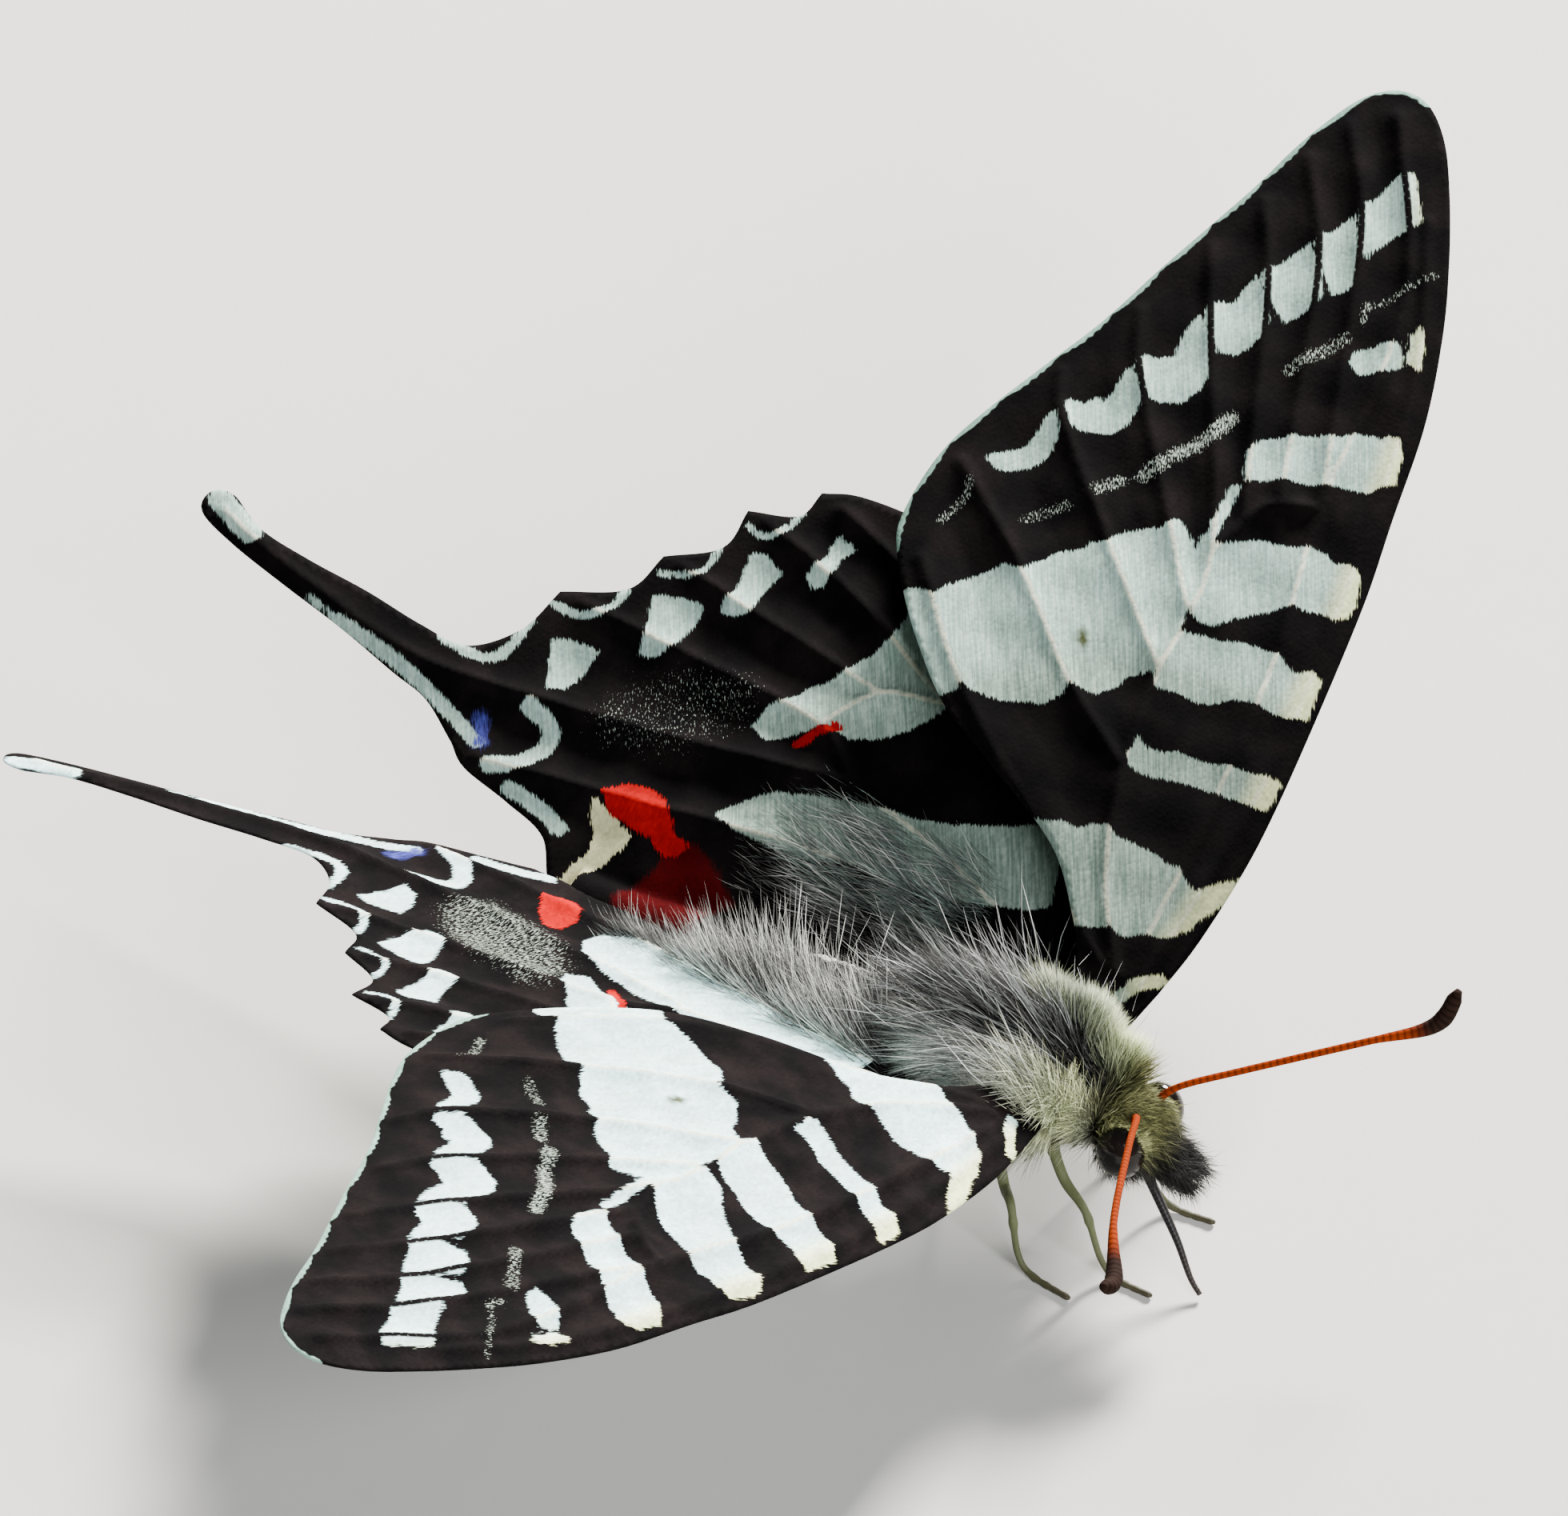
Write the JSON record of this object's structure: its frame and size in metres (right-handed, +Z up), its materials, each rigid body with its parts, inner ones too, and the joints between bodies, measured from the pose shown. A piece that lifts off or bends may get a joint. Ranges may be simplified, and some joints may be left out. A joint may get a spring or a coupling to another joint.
{
  "type": "zebra swallowtail butterfly model",
  "caption": "Life-size zebra swallowtail standing on the ground, striped black and white wings half raised, long tails behind and a furry thorax.",
  "frame": {"origin": "On the floor under the middle of the model's box.", "axes": "+Z up, the head looks along -Y, the left wings reach towards +X."},
  "size_m": [0.0728, 0.0492, 0.0192],
  "materials": {
    "body_black": "matt black hide under sparse hair",
    "body_hair": "long silky silver-grey hair over black",
    "eye_black": "glossy black compound eye",
    "antenna_rust": "rust red shaft with a dark club",
    "leg_straw": "pale straw-green leg with fine hairs",
    "wing_pied": "black and white scales, satin, with a pale sheen"
  },
  "bodies": {
    "root": {"thorax": "body_hair", "head": "body_hair", "palp_left": "body_hair", "palp_right": "body_hair", "abdomen": "body_black", "proboscis": "body_black", "eye_left": "eye_black", "eye_right": "eye_black", "antenna_left": "antenna_rust", "antenna_right": "antenna_rust", "leg_front_left": "leg_straw", "leg_front_right": "leg_straw", "leg_middle_left": "leg_straw", "leg_middle_right": "leg_straw", "leg_hind_left": "leg_straw", "leg_hind_right": "leg_straw", "forewing_left": "wing_pied", "forewing_right": "wing_pied", "hindwing_left": "wing_pied", "hindwing_right": "wing_pied"}
  },
  "joints": []
}
